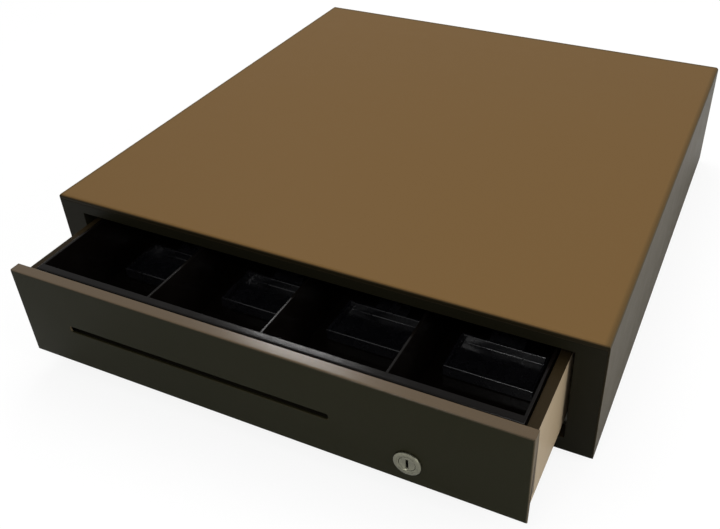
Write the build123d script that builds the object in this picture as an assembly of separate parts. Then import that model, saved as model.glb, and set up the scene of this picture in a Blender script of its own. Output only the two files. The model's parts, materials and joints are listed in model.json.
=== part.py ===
from build123d import *
import math
import os

# A steel cash drawer: a folded case, a roller-hung drawer with a lift-out till, spring bill clips,
# a cam lock in the front panel, and a solenoid latch behind the drawer.
# Millimetres, +Z up, the drawer's front faces -Y, z = 0 is the table under the feet.
# Depths (y) are counted backwards from the front plane of the case. save() moves each finished piece so
# that the origin lies under the middle of the whole object as it stands, with its drawer open.

# Case
case_width = 410.0
case_depth = 415.0
case_height = 97.0
foot_height = 3.0
foot_radius = 11.0
foot_inset_x = 30.0
foot_inset_y = 35.0
cover_sheet = 1.2
cover_bend = 2.5
cover_front_lip = 4.0
cover_lip = 13.8
base_sheet = 1.2
frame_sheet = 1.2
rear_sheet = 1.2
rear_recess = 3.0

# Opening in the front frame
opening_post = 20.0
opening_sill = 11.4
opening_header = 12.0
frame_return = 10.0
frame_foot = 12.0

# Drawer
drawer_open = 72.0
drawer_kept = 63.0
panel_gap = 1.0
panel_sheet = 1.5
panel_return = 8.0
panel_bend = 1.2
panel_relief = 20.6
media_slot_length = 200.0
media_slot_height = 4.8
media_slot_x = -43.5
media_slot_lift = 33.3
box_sheet = 1.0
box_side_gap = 3.0
box_lift = 5.6
box_drop = 8.0
box_rear_gap = 9.0
box_flange = 7.0

# Till and coin tray
till_clearance = 1.0
till_front_gap = 4.0
till_back_gap = 4.0
till_rise = 3.0
media_bay = 10.0
till_wall = 2.0
till_rim = 6.0
till_nose_height = 14.0
till_nose_run = 24.0
coin_bay = 137.0
cross_wall = 3.0
well_count = 4
divider = 2.0
divider_drop = 3.0
tray_clearance = 0.5
tray_wall = 2.5
tray_drop = 1.0
cup_rows = 2
cup_depth = 37.0
cup_radius = 28.0
cup_wall = 2.0

# Bill clips
clip_pivot_gap = 7.0
clip_pivot_lift = 35.0
clip_pin_radius = 2.0
clip_hub_radius = 5.0
clip_hub_width = 25.0
clip_spring_room = 10.0
clip_arm = 2.5
paddle_width = 62.0
paddle_depth = 35.0
paddle_front_gap = 57.0
paddle_rim = 6.5
paddle_rim_wall = 2.0
ear_width = 3.0
ear_gap = 0.5
clip_spring_radius = 3.0
clip_spring_wire = 0.8
clip_spring_turns = 5

# Lock
lock_x = 109.0
lock_lift = 17.6
bezel_radius = 9.25
bezel_proud = 1.5
lock_radius = 8.0
lock_length = 20.0
core_radius = 5.45
key_slot_width = 1.6
key_slot_height = 7.0
key_slot_depth = 14.0
cam_boss_radius = 3.0
cam_sheet = 2.0
cam_width = 12.0
cam_reach = 22.0
nut_across = 22.0
nut_thickness = 3.5
keeper_gap = 3.0
keeper_height = 12.8
keeper_width = 28.0

# Rollers and runners
rear_roller_radius = 8.0
rear_roller_width = 6.0
rear_roller_inset = 14.0
rear_roller_gap = 5.0
runner_height = 47.0
runner_sheet = 1.2
runner_start = 25.0
runner_gap = 3.5
runner_end_gap = 8.0
front_roller_radius = 6.7
front_roller_width = 6.0
front_roller_y = 24.0
axle_radius = 2.5
axle_head = 4.0
bracket_sheet = 1.5
bumper_length = 6.0
roller_clearance = 0.3
running_clearance = 0.05

# Latch, solenoid and ejector
shelf_height = 33.0
shelf_sheet = 2.0
shelf_rear_gap = 6.8
shelf_deep = 52.0
shelf_left = -88.0
shelf_right = 24.0
shelf_foot = 14.0
latch_x = 8.0
latch_inset = 19.0
latch_reach = 32.5
latch_sheet = 3.0
latch_lift = 12.0
latch_arm = 6.0
latch_nose_reach = 9.0
latch_nose = 4.0
latch_tail = 13.0
pivot_radius = 3.0
link_offset = 17.0
strike_sheet = 3.0
strike_gap = 4.0
strike_reach = 18.0
strike_height = 16.0
strike_base = 28.0
strike_base_sheet = 2.0
strike_screw_inset = 20.0
strike_screw_rise = 8.0
plunger_radius = 5.0
plunger_clearance = 0.1
plunger_seat = 25.0
plunger_neck = 16.0
fork_reach = 3.5
fork_half = 4.0
fork_root = 6.0
fork_trim = 0.5
link_pin_radius = 1.5
coil_radius = 8.8
coil_flange = 9.7
solenoid_width = 22.0
solenoid_length = 38.0
solenoid_right = -20.0
solenoid_sheet = 2.0
fork_gap = 0.3
ejector_x = -110.0
ejector_height = 47.0
ejector_rod = 4.5
ejector_rod_length = 62.0
ejector_spring_length = 97.0
ejector_wire = 1.2
ejector_turns = 14

# Switch and socket
switch_length = 20.0
switch_depth = 10.0
switch_height = 6.0
switch_lever_reach = 19.0
switch_lever_angle = 22.0
socket_x = 110.0
socket_height = 31.0
socket_width = 13.0
socket_tall = 12.0
socket_deep = 17.0
plug_width = 9.8
plug_tall = 6.8
plug_deep = 12.0
board_width = 50.0
board_deep = 36.0
board_sheet = 1.6
lead_radius = 1.2
lead_loop = 26.0

# Fasteners
screw_radius = 2.0
screw_head = 3.5
screw_head_height = 2.0
screw_clearance = 0.1
hex_across = 7.0
hex_thickness = 3.2
stud_inset = 14.0
stud_low = 6.0
stud_high = 23.0
frame_screw_inset = 35.0
shelf_screw_inset = 10.0
base_screw_length = 6.0
rear_screw_length = 8.0
shelf_screw_length = 4.5
keeper_screw_length = 4.0
strike_screw_length = 7.0
stud_end = 1.3

# Places that follow from the sizes above
case_floor = foot_height
case_top = case_floor + case_height
half_case = case_width / 2
half_inside = half_case - cover_sheet
base_top = case_floor + base_sheet
lip_top = base_top + cover_sheet
rear_out = case_depth - rear_recess
rear_in = rear_out - rear_sheet
half_opening = half_case - opening_post
sill = case_floor + opening_sill
lintel = case_top - opening_header
half_panel = half_opening - panel_gap
panel_bottom = sill + panel_gap
panel_top = lintel - panel_gap
panel_front = -drawer_open
panel_inside = panel_front + panel_sheet
panel_back = panel_front + panel_return
half_box = half_opening - box_side_gap
box_bottom = sill + box_lift
box_top = lintel - box_drop
box_floor = box_bottom + box_sheet
box_front = panel_back
shelf_back = rear_in - shelf_rear_gap
shelf_front = shelf_back - shelf_deep
box_back = shelf_front - box_rear_gap - drawer_open
drawer_travel = box_back - box_front - drawer_kept
half_till = half_box - box_flange - till_clearance
till_front = box_front + till_front_gap
till_back = box_back - box_sheet - till_back_gap
till_top = box_top + till_rise
till_under = box_floor + media_bay
till_floor = till_under + till_wall
half_bay = half_till - till_wall
bay_front = till_front + till_rim
tray_back = till_back - till_wall
tray_bay = tray_back - coin_bay
wall_front = tray_bay - cross_wall
well_pitch = 2 * half_till / well_count
clip_y = wall_front - clip_pivot_gap
clip_z = till_floor + clip_pivot_lift
clip_bore = clip_pin_radius + running_clearance
paddle_front = bay_front + paddle_front_gap
paddle_back = paddle_front + paddle_depth
paddle_under = till_floor + roller_clearance
well_centres = [(i - (well_count - 1) / 2) * well_pitch for i in range(well_count)]
slot_z = panel_bottom + media_slot_lift
lock_z = panel_bottom + lock_lift
lock_back = panel_front + lock_length
cam_front = lock_back + 0.5
cam_back = cam_front + cam_sheet
roller_z = case_floor + runner_height
rear_roller_y = box_back - rear_roller_inset
rear_roller_closed = rear_roller_y + drawer_open
rear_roller_in = half_box + rear_roller_gap
rear_roller_out = rear_roller_in + rear_roller_width
runner_in = half_box + runner_gap
runner_end = rear_roller_closed + rear_roller_radius + bumper_length + runner_end_gap
front_roller_z = box_bottom - roller_clearance - front_roller_radius
front_roller_out = half_box + 0.5
front_roller_in = front_roller_out - front_roller_width
front_plate = front_roller_out + 0.5
shelf_top = case_floor + shelf_height
latch_mid = shelf_top + latch_lift
latch_y = shelf_back - latch_inset
latch_low = latch_mid - latch_sheet / 2
latch_high = latch_mid + latch_sheet / 2
link_y = latch_y - link_offset
nose_y = latch_y - latch_reach
strike_left = latch_x + strike_gap
half_switch = switch_length / 2
switch_y = shelf_front + 2.0
switch_x = shelf_left + half_switch + 4.0
socket_bottom = case_floor + socket_height
case_front = -(case_depth - drawer_open - bezel_proud) / 2

cover_screw_x = half_inside - cover_lip / 2
cover_screws_y = [case_depth * share for share in (0.15, 0.5, 0.85)]
frame_screw_x = half_opening - frame_screw_inset
frame_screw_y = frame_sheet + frame_foot / 2
rear_screws_z = [case_floor + case_height * share for share in (0.25, 0.8)]
stud_x = half_box - stud_inset
stud_heights = [box_floor + stud_low, till_top - stud_high]
strike_screw_x = strike_left + strike_screw_inset
strike_screws_z = [latch_mid - strike_screw_rise, latch_mid + strike_screw_rise]
keeper_y = cam_front + drawer_open - keeper_gap - bracket_sheet
shelf_screws_y = [shelf_front + shelf_screw_inset, shelf_back - shelf_screw_inset]
shelf_screws_x = [shelf_left - shelf_foot / 2, shelf_right + shelf_foot / 2]
board_front = rear_in - board_deep
board_legs = [(socket_x + side * (board_width / 2 - 5), board_front + 5) for side in (-1, 1)]
board_legs += [(x, rear_in - 6) for x, _ in board_legs]


def block(x, y, z):
    """A box given by its low and high limits along each axis."""
    centre = Pos(sum(x) / 2, sum(y) / 2, sum(z) / 2)
    return centre * Box(x[1] - x[0], y[1] - y[0], z[1] - z[0])


def rod_x(x, y, z, radius):
    return Pos(sum(x) / 2, y, z) * Rot(0, 90, 0) * Cylinder(radius, x[1] - x[0])


def rod_y(x, y, z, radius):
    return Pos(x, sum(y) / 2, z) * Rot(90, 0, 0) * Cylinder(radius, y[1] - y[0])


def rod_z(x, y, z, radius):
    return Pos(x, y, sum(z) / 2) * Cylinder(radius, z[1] - z[0])


def prism_x(points, x):
    """A (y, z) outline drawn out along X."""
    outline = Plane.YZ.offset(x[0]) * Polygon(*points, align=None)
    return extrude(outline, x[1] - x[0], dir=(1, 0, 0))


def right_and_left(shape):
    return [shape, mirror(shape, about=Plane.YZ)]


def coil(pitch, turns, radius, wire):
    """An open coil standing on the origin along +Z."""
    path = Helix(pitch=pitch, height=pitch * turns, radius=radius)
    section = Plane(origin=path @ 0, z_dir=path % 0) * Circle(wire / 2)
    return sweep(section, path=path, is_frenet=True)


def hex_nut(across, thickness, bore):
    """A nut lying on the origin, its axis along +Z."""
    body = extrude(RegularPolygon(across / 2, 6, major_radius=False), thickness)
    return body - Pos(0, 0, thickness / 2) * Cylinder(bore, 2 * thickness)


def save(name, shape):
    """Write one piece, or one group of like pieces, in the frame of the whole object."""
    solids = shape if isinstance(shape, list) else [shape]
    moved = [Pos(0, case_front, 0) * solid for solid in solids]
    export_step(moved[0] if len(moved) == 1 else Compound(children=moved), f"parts/{name}.step")


def folded_shell(half, y, z, bend):
    """A block whose front, left and right top edges are bent round."""
    shell = block((-half, half), y, z)
    edges = shell.faces().sort_by(Axis.Z)[-1].edges().sort_by(Axis.Y)[:-1]
    return fillet(edges, bend)


# Case
def top_cover():
    cover = folded_shell(half_case, (0, case_depth), (case_floor, case_top), cover_bend)
    inside = folded_shell(half_inside, (cover_sheet, case_depth + 1), (case_floor - 1, case_top - cover_sheet),
                          cover_bend - cover_sheet)
    mouth = block((-half_inside, half_inside), (-1, cover_sheet), (case_floor - 1, case_top - cover_front_lip))
    cover = cover - inside - mouth
    lip_x = (half_inside - cover_lip, half_inside)
    lip_front = frame_sheet + frame_foot + 1
    for lip in right_and_left(block(lip_x, (lip_front, rear_in - cover_sheet), (base_top, lip_top))):
        cover += lip
    rear_lip = block(lip_x, (rear_in - cover_sheet, rear_in), (base_top, case_top - cover_lip))
    for lip in right_and_left(rear_lip):
        cover += lip
    for x in (-cover_screw_x, cover_screw_x):
        for y in cover_screws_y:
            cover -= rod_z(x, y, (base_top - 1, lip_top + 1), screw_radius + screw_clearance)
        for z in rear_screws_z:
            cover -= rod_y(x, (rear_in - 3, rear_in + 1), z, screw_radius + screw_clearance)
    return cover


def front_frame():
    frame = block((-half_inside, half_inside), (0, frame_sheet), (case_floor, case_top - cover_front_lip))
    returns = block((-half_opening - frame_sheet, half_opening + frame_sheet),
                    (frame_sheet, frame_sheet + frame_return), (sill - frame_sheet, lintel + frame_sheet))
    foot = block((-half_opening, half_opening), (frame_sheet, frame_sheet + frame_foot), (base_top, lip_top))
    frame = frame + returns + foot
    frame -= block((-half_opening, half_opening), (-1, 2 * frame_return), (sill, lintel))
    for x in (-frame_screw_x, frame_screw_x):
        frame -= rod_z(x, frame_screw_y, (base_top - 1, lip_top + 1), screw_radius + screw_clearance)
    return frame


def base_plate():
    plate = block((-half_inside, half_inside), (frame_sheet, rear_in), (case_floor, base_top))
    for x, y in base_screw_places() + shelf_screw_places() + keeper_screw_places():
        plate -= rod_z(x, y, (case_floor - 1, base_top + 1), screw_radius + screw_clearance)
    return plate


def rear_panel():
    panel = block((-half_inside, half_inside), (rear_in, rear_out), (case_floor, case_top - cover_sheet))
    panel = fillet(panel.edges().filter_by(Axis.Y).group_by(Axis.Z)[-1], cover_bend - cover_sheet)
    window = 0.2
    panel -= block((socket_x - socket_width / 2 - window, socket_x + socket_width / 2 + window),
                   (rear_in - 1, rear_out + 1), (socket_bottom - window, socket_bottom + socket_tall + window))
    for x in (-cover_screw_x, cover_screw_x):
        for z in rear_screws_z:
            panel -= rod_y(x, (rear_in - 1, rear_out + 1), z, screw_radius + screw_clearance)
    return panel


def rubber_foot(x, y):
    foot = rod_z(x, y, (0, case_floor), foot_radius)
    return chamfer(foot.edges().sort_by(Axis.Z)[0], foot_height / 4)


def rubber_feet():
    places = [(side * (half_case - foot_inset_x), y)
              for side in (-1, 1) for y in (foot_inset_y, case_depth - foot_inset_y)]
    return [rubber_foot(x, y) for x, y in places]


def base_screw_places():
    sides = [(x, y) for x in (-cover_screw_x, cover_screw_x) for y in cover_screws_y]
    return sides + [(-frame_screw_x, frame_screw_y), (frame_screw_x, frame_screw_y)]


def screw_up(x, y, seat, length):
    """A pan-head screw entering upwards, its head under the seat."""
    head = fillet(rod_z(x, y, (seat - screw_head_height, seat), screw_head).edges().sort_by(Axis.Z)[0], 0.8)
    return head + rod_z(x, y, (seat, seat + length), screw_radius)


def screw_down(x, y, seat, length):
    """A pan-head screw entering downwards, its head on the seat."""
    head = fillet(rod_z(x, y, (seat, seat + screw_head_height), screw_head).edges().sort_by(Axis.Z)[-1], 0.8)
    return head + rod_z(x, y, (seat - length, seat), screw_radius)


def screw_forward(x, z, seat, length):
    """A pan-head screw entering towards the front, its head behind the seat."""
    head = rod_y(x, (seat, seat + screw_head_height), z, screw_head)
    head = fillet(head.edges().sort_by(Axis.Y)[-1], 0.8)
    return head + rod_y(x, (seat - length, seat), z, screw_radius)


def base_screws():
    return [screw_up(x, y, case_floor, base_screw_length) for x, y in base_screw_places()]


def rear_screws():
    return [screw_forward(x, z, rear_out, rear_screw_length)
            for x in (-cover_screw_x, cover_screw_x) for z in rear_screws_z]


# Runners and rollers
def runner():
    """The right-hand channel that the rear roller runs in."""
    reach = rear_roller_radius + roller_clearance
    length = (runner_start, runner_end)
    channel = block((runner_in, half_inside), length,
                    (roller_z - reach - runner_sheet, roller_z + reach + runner_sheet))
    return channel - block((runner_in - 1, half_inside - runner_sheet), (runner_start - 1, runner_end + 1),
                           (roller_z - reach, roller_z + reach))


def runner_bumpers():
    """Rubber blocks that stop the rear roller when the drawer is shut and when it is fully out."""
    reach = rear_roller_radius + roller_clearance
    x = (rear_roller_in + 1, half_inside - runner_sheet)
    z = (roller_z - reach + 1, roller_z + reach - 1)
    shut = rear_roller_closed + reach
    out = rear_roller_closed - drawer_travel - reach
    return right_and_left(block(x, (shut, shut + bumper_length), z)) + \
        right_and_left(block(x, (out - bumper_length, out), z))


def rear_roller_pin():
    collar = rod_x((half_box, rear_roller_in - 0.2), rear_roller_y, roller_z, 2 * axle_radius)
    shank = rod_x((half_box - box_sheet, rear_roller_out + 0.3), rear_roller_y, roller_z, axle_radius)
    head = rod_x((rear_roller_out + 0.3, rear_roller_out + 1.8), rear_roller_y, roller_z, axle_head)
    rivet = rod_x((half_box - box_sheet - 1.2, half_box - box_sheet), rear_roller_y, roller_z, axle_head)
    return collar + shank + head + rivet


def rear_roller():
    wheel = rod_x((rear_roller_in, rear_roller_out), rear_roller_y, roller_z, rear_roller_radius)
    wheel = fillet(wheel.edges(), 0.8)
    return wheel - rod_x((rear_roller_in - 1, rear_roller_out + 1), rear_roller_y, roller_z,
                         axle_radius + running_clearance)


def front_roller():
    wheel = rod_x((front_roller_in, front_roller_out), front_roller_y, front_roller_z, front_roller_radius)
    wheel = fillet(wheel.edges(), 0.8)
    return wheel - rod_x((front_roller_in - 1, front_roller_out + 1), front_roller_y, front_roller_z,
                         axle_radius + running_clearance)


def front_roller_bracket():
    y = (front_roller_y - 9, front_roller_y + 9)
    plate = block((front_plate, front_plate + bracket_sheet), y, (base_top, box_bottom - 1))
    foot = block((front_roller_in - 12, front_plate), y, (base_top, base_top + bracket_sheet / 2))
    hole = rod_x((front_plate - 1, front_plate + 3), front_roller_y, front_roller_z, axle_radius)
    return plate + foot - hole


def front_roller_pin():
    shank = rod_x((front_roller_in - 0.3, front_plate + bracket_sheet), front_roller_y, front_roller_z, axle_radius)
    inner = rod_x((front_roller_in - 1.5, front_roller_in - 0.3), front_roller_y, front_roller_z, axle_head)
    outer_x = (front_plate + bracket_sheet, front_plate + bracket_sheet + 1.2)
    return shank + inner + rod_x(outer_x, front_roller_y, front_roller_z, axle_head)


# Drawer
def front_panel():
    panel = block((-half_panel, half_panel), (panel_front, panel_back), (panel_bottom, panel_top))
    panel = fillet(panel.faces().sort_by(Axis.Y)[0].edges(), panel_bend)
    panel -= block((-half_panel + panel_sheet, half_panel - panel_sheet), (panel_inside, panel_back + 1),
                   (panel_bottom + panel_sheet, panel_top - panel_sheet))
    relief = block((half_panel - 2 * panel_sheet, half_panel + 1), (panel_inside, panel_back + 1),
                   (panel_bottom - 1, panel_bottom + panel_relief))
    for notch in right_and_left(relief):
        panel -= notch
    slot_y = (panel_front - 1, panel_inside + 1)
    slot = block((media_slot_x - media_slot_length / 2, media_slot_x + media_slot_length / 2), slot_y,
                 (slot_z - media_slot_height / 2, slot_z + media_slot_height / 2))
    slot = fillet(slot.edges().filter_by(Axis.Y), media_slot_height / 3)
    return panel - slot - rod_y(lock_x, slot_y, lock_z, lock_radius + screw_clearance)


def stud_places():
    return [(x, z) for x in (-stud_x, stud_x) for z in stud_heights]


def panel_studs():
    end = box_front + box_sheet + hex_thickness + stud_end
    return [rod_y(x, (panel_inside, end), z, screw_radius) for x, z in stud_places()]


def panel_nuts():
    nut = hex_nut(hex_across, hex_thickness, screw_radius + running_clearance)
    return [Pos(x, box_front + box_sheet, z) * Rot(-90, 0, 0) * nut for x, z in stud_places()]


def drawer_box():
    box = block((-half_box, half_box), (box_front, box_back), (box_bottom, box_top))
    inner = half_box - box_sheet
    box -= block((-inner, inner), (box_front + box_sheet, box_back - box_sheet), (box_floor, box_top + 1))
    flange = block((half_box - box_flange, half_box), (box_front + box_sheet, box_back - box_sheet),
                   (box_top - box_sheet, box_top))
    for side in right_and_left(flange):
        box += side
    front_y = (box_front - 1, box_front + box_sheet + 1)
    back_y = (box_back - box_sheet - 1, box_back + 1)
    box -= block((media_slot_x - media_slot_length / 2 - 4, media_slot_x + media_slot_length / 2 + 4), front_y,
                 (slot_z - media_slot_height, slot_z + media_slot_height))
    box -= rod_y(lock_x, front_y, lock_z, lock_radius + screw_clearance)
    swing = math.sqrt(cam_reach ** 2 - (lock_z - box_floor) ** 2)
    box -= block((lock_x - cam_width / 2 - 1, lock_x + swing + 1.5), (cam_front - 2, cam_back + 2),
                 (box_bottom - 1, box_floor + 0.5))
    for x, z in stud_places():
        box -= rod_y(x, front_y, z, screw_radius + screw_clearance)
    for z in strike_screws_z:
        box -= rod_y(strike_screw_x, back_y, z, screw_radius + screw_clearance)
    axle = rod_x((half_box - 2 * box_sheet, half_box + 1), rear_roller_y, roller_z, axle_radius)
    for hole in right_and_left(axle):
        box -= hole
    return box


def till():
    slope_z = till_top - till_nose_height
    slope_y = till_front + till_nose_run
    outer = prism_x([(till_front, till_top), (till_front, slope_z), (slope_y, till_under), (till_back, till_under),
                     (till_back, till_top)], (-half_till, half_till))
    outer = fillet(outer.edges().filter_by(Axis.X).group_by(Axis.Z)[-1].sort_by(Axis.Y)[0], 1.5)
    bill_space = [(bay_front, till_top + 1), (bay_front, slope_z - till_rim / 2), (slope_y + 1.5, till_floor),
                  (wall_front, till_floor), (wall_front, till_top + 1)]
    body = outer - block((-half_bay, half_bay), (tray_bay, tray_back), (till_floor, till_top + 1))
    for centre in well_centres:
        left = max(centre - well_pitch / 2 + divider / 2, -half_bay)
        right = min(centre + well_pitch / 2 - divider / 2, half_bay)
        body -= prism_x(bill_space, (left, right))
    body -= block((-half_bay, half_bay), (bay_front, wall_front), (till_top - divider_drop, till_top + 1))
    for skirt in right_and_left(block((half_bay, half_till), (slope_y + 6, till_back), (box_floor, till_under))):
        body += skirt
    for centre in well_centres:
        for ear in clip_ears(centre):
            body += ear
    return body


def clip_ears(centre):
    inner = clip_hub_width / 2 + ear_gap
    ears = []
    for side in (-1, 1):
        x = sorted((centre + side * inner, centre + side * (inner + ear_width)))
        ear = block(x, (clip_y - clip_hub_radius, wall_front), (clip_z - clip_hub_radius, clip_z + clip_hub_radius))
        ears.append(ear - rod_x((x[0] - 1, x[1] + 1), clip_y, clip_z, clip_bore))
    return ears


def coin_tray():
    half = half_bay - tray_clearance
    front = tray_bay + tray_clearance
    back = tray_back - tray_clearance
    top = till_top - tray_drop
    pitch_x = (2 * half - tray_wall) / well_count
    pitch_y = (back - front - tray_wall) / cup_rows
    width = pitch_x - tray_wall
    length = pitch_y - tray_wall
    skirt = (till_floor, top)
    tray = block((-half, half), (front, back), skirt)
    tray -= block((-half + cup_wall, half - cup_wall), (front + cup_wall, back - cup_wall),
                  (till_floor - 1, top - cup_wall))
    walls = []
    hollows = []
    for i in range(well_count):
        for j in range(cup_rows):
            x = -half + tray_wall + i * pitch_x
            y = front + tray_wall + (j + 0.5) * pitch_y - tray_wall / 2
            walls.append(scoop(x - cup_wall, y, top, width + 2 * cup_wall, length + 2 * cup_wall, cup_wall))
            hollows.append(scoop(x, y, top, width, length, 0))
    for wall in walls:
        tray += wall
    for hollow in hollows:
        tray -= hollow
    return tray & block((-half, half), (front, back), skirt)


def scoop(x, y, top, width, length, grow):
    """A coin cup's round-bottomed block, centred on the tray's top, so that its lower half is the cup."""
    outline = RectangleRounded(length, 2 * (cup_depth + grow), cup_radius + grow)
    return extrude(Plane(origin=(x, y, top), x_dir=(0, 1, 0), z_dir=(1, 0, 0)) * outline, width)


def strike_plate():
    base = block((strike_left, strike_left + strike_base), (box_back, box_back + strike_base_sheet),
                 (latch_mid - strike_base / 2, latch_mid + strike_base / 2))
    tongue = block((strike_left, strike_left + strike_sheet), (box_back, box_back + strike_reach),
                   (latch_mid - strike_height / 2, latch_mid + strike_height / 2))
    shut_nose = nose_y - drawer_open
    window = block((strike_left - 1, strike_left + strike_sheet + 1), (shut_nose - 1.5, shut_nose + latch_nose + 1.5),
                   (latch_mid - 4.5, latch_mid + 4.5))
    plate = base + tongue - window
    for z in strike_screws_z:
        plate -= rod_y(strike_screw_x, (box_back - 1, box_back + 3), z, screw_radius + screw_clearance)
    return plate


def strike_screws():
    return [screw_forward(strike_screw_x, z, box_back + strike_base_sheet, strike_screw_length) for z in strike_screws_z]


# Bill clips
def bill_clip(centre):
    half_hub = clip_hub_width / 2
    half_paddle = paddle_width / 2
    hub_x = (centre - half_hub, centre + half_hub)
    plate_top = paddle_under + clip_arm
    arm = prism_x([(clip_y, clip_z + clip_arm), (clip_y, clip_z - clip_arm), (paddle_back - 3, paddle_under),
                   (paddle_back - 3, plate_top)], hub_x)
    clip = arm + rod_x(hub_x, clip_y, clip_z, clip_hub_radius)
    clip += block((centre - half_paddle, centre + half_paddle), (paddle_front, paddle_back),
                  (paddle_under, plate_top + paddle_rim))
    clip -= block((centre - half_paddle + paddle_rim_wall, centre + half_paddle - paddle_rim_wall),
                  (paddle_front + paddle_rim_wall, paddle_back - paddle_rim_wall),
                  (plate_top, plate_top + paddle_rim + 1))
    clip += arm & block(hub_x, (paddle_back - 3, clip_y), (paddle_under, clip_z))
    clip -= block((centre - clip_spring_room / 2, centre + clip_spring_room / 2),
                  (clip_y - 2.6 * clip_hub_radius, clip_y + 2 * clip_hub_radius),
                  (clip_z - 3 * clip_hub_radius, clip_z + 2 * clip_hub_radius))
    return clip - rod_x((hub_x[0] - 1, hub_x[1] + 1), clip_y, clip_z, clip_bore)


def bill_clip_pins():
    reach = clip_hub_width / 2 + ear_gap + ear_width
    return [rod_x((centre - reach, centre + reach), clip_y, clip_z, clip_pin_radius) for centre in well_centres]


def bill_clip_spring(centre):
    """A torsion spring on the clip's pin, one leg on the cross wall and one on the arm."""
    length = clip_spring_room - 2.2
    winding = coil(length / clip_spring_turns, clip_spring_turns, clip_spring_radius, clip_spring_wire)
    winding = Pos(centre - length / 2, clip_y, clip_z) * Rot(0, 90, 0) * winding
    wire = clip_spring_wire / 2
    top = clip_z + clip_spring_radius
    start = centre - length / 2
    leg_back = rod_y(start, (clip_y, wall_front - roller_clearance), top, wire)
    leg_front = rod_y(start + length, (clip_y - 2 * clip_hub_radius, clip_y), clip_z - clip_spring_radius, wire)
    return winding, leg_back, leg_front


# Lock
def lock_body():
    bezel = rod_y(lock_x, (panel_front - bezel_proud, panel_front), lock_z, bezel_radius)
    bezel = fillet(bezel.edges().sort_by(Axis.Y)[0], 0.8)
    barrel = rod_y(lock_x, (panel_front, lock_back), lock_z, lock_radius)
    bore = rod_y(lock_x, (panel_front - 3, lock_back + 1), lock_z, core_radius + running_clearance)
    return bezel + barrel - bore


def lock_nut():
    nut = hex_nut(nut_across, nut_thickness, lock_radius + running_clearance)
    return Pos(lock_x, box_front + box_sheet, lock_z) * Rot(-90, 0, 0) * nut


def lock_core():
    core = rod_y(lock_x, (panel_front - bezel_proud + 0.2, cam_front), lock_z, core_radius)
    core += rod_y(lock_x, (cam_front, cam_back), lock_z, cam_boss_radius)
    core -= block((lock_x - key_slot_width / 2, lock_x + key_slot_width / 2),
                  (panel_front - bezel_proud - 1, panel_front + key_slot_depth),
                  (lock_z - key_slot_height / 2, lock_z + key_slot_height / 2))
    return core - rod_y(lock_x, (cam_front - 3, cam_back + 1), lock_z, screw_radius * 0.75 + running_clearance)


def lock_cam():
    y = (cam_front, cam_back)
    cam = rod_y(lock_x, y, lock_z, cam_width / 2)
    cam += block((lock_x, lock_x + cam_reach - cam_width / 2), y, (lock_z - cam_width / 2, lock_z + cam_width / 2))
    cam += rod_y(lock_x + cam_reach - cam_width / 2, y, lock_z, cam_width / 2)
    return cam - rod_y(lock_x, (cam_front - 1, cam_back + 1), lock_z, cam_boss_radius + 0.02)


def cam_screw():
    head = rod_y(lock_x, (cam_back, cam_back + screw_head_height), lock_z, cam_boss_radius + 1)
    return head + rod_y(lock_x, (cam_front - 2.8, cam_back), lock_z, screw_radius * 0.75)


def keeper_screw_places():
    return [(lock_x + side * keeper_width / 4, keeper_y + bracket_sheet + 9) for side in (-1, 1)]


def lock_keeper():
    x = (lock_x - keeper_width / 2, lock_x + keeper_width / 2)
    wall = block(x, (keeper_y, keeper_y + bracket_sheet), (base_top, base_top + keeper_height))
    foot = block(x, (keeper_y, keeper_y + bracket_sheet + 15), (base_top, base_top + bracket_sheet))
    keeper = wall + foot
    for sx, sy in keeper_screw_places():
        keeper -= rod_z(sx, sy, (base_top - 1, base_top + 3), screw_radius + screw_clearance)
    return keeper


# Latch, solenoid and ejector
def shelf_screw_places():
    return [(x, y) for x in shelf_screws_x for y in shelf_screws_y]


def latch_bracket():
    y = (shelf_front, shelf_back)
    bracket = block((shelf_left, shelf_right), y, (shelf_top - shelf_sheet, shelf_top))
    for wall, foot in (((shelf_left, shelf_left + shelf_sheet), (shelf_left - shelf_foot, shelf_left)),
                       ((shelf_right - shelf_sheet, shelf_right), (shelf_right, shelf_right + shelf_foot))):
        bracket += block(wall, y, (base_top, shelf_top))
        bracket += block(foot, y, (base_top, base_top + shelf_sheet))
    bracket += rod_z(latch_x - 30, latch_y + latch_tail - 2, (shelf_top, latch_high + 2), 1.5)
    for x, y0 in shelf_screw_places():
        bracket -= rod_z(x, y0, (base_top - 1, base_top + shelf_sheet + 1), screw_radius + screw_clearance)
    return bracket - rod_z(latch_x, latch_y, (shelf_top - 2 * shelf_sheet, shelf_top + 1), pivot_radius + 0.05)


def bracket_screws():
    screws = [screw_down(x, y, base_top + shelf_sheet, shelf_screw_length) for x, y in shelf_screw_places()]
    return screws + [screw_down(x, y, base_top + bracket_sheet, keeper_screw_length) for x, y in keeper_screw_places()]


def latch_lever():
    z = (latch_low, latch_high)
    half = latch_arm / 2
    lever = rod_z(latch_x, latch_y, z, 2 * pivot_radius)
    lever += block((latch_x - half, latch_x + half), (nose_y, latch_y + latch_tail), z)
    lever += block((latch_x - half, latch_x + latch_nose_reach), (nose_y, nose_y + latch_nose), z)
    lever += block((latch_x - 6, latch_x + 5), (link_y - 4.5, link_y + 5), z)
    lever -= block((latch_x - 1.8, latch_x + 1.8), (link_y - 2.8, link_y + 3.2), (latch_low - 1, latch_high + 1))
    lever -= rod_z(latch_x, latch_y, (latch_low - 1, latch_high + 1), pivot_radius + running_clearance)
    return lever - rod_z(latch_x, latch_y + latch_tail - 2, (latch_low - 1, latch_high + 1), 0.8)


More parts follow.
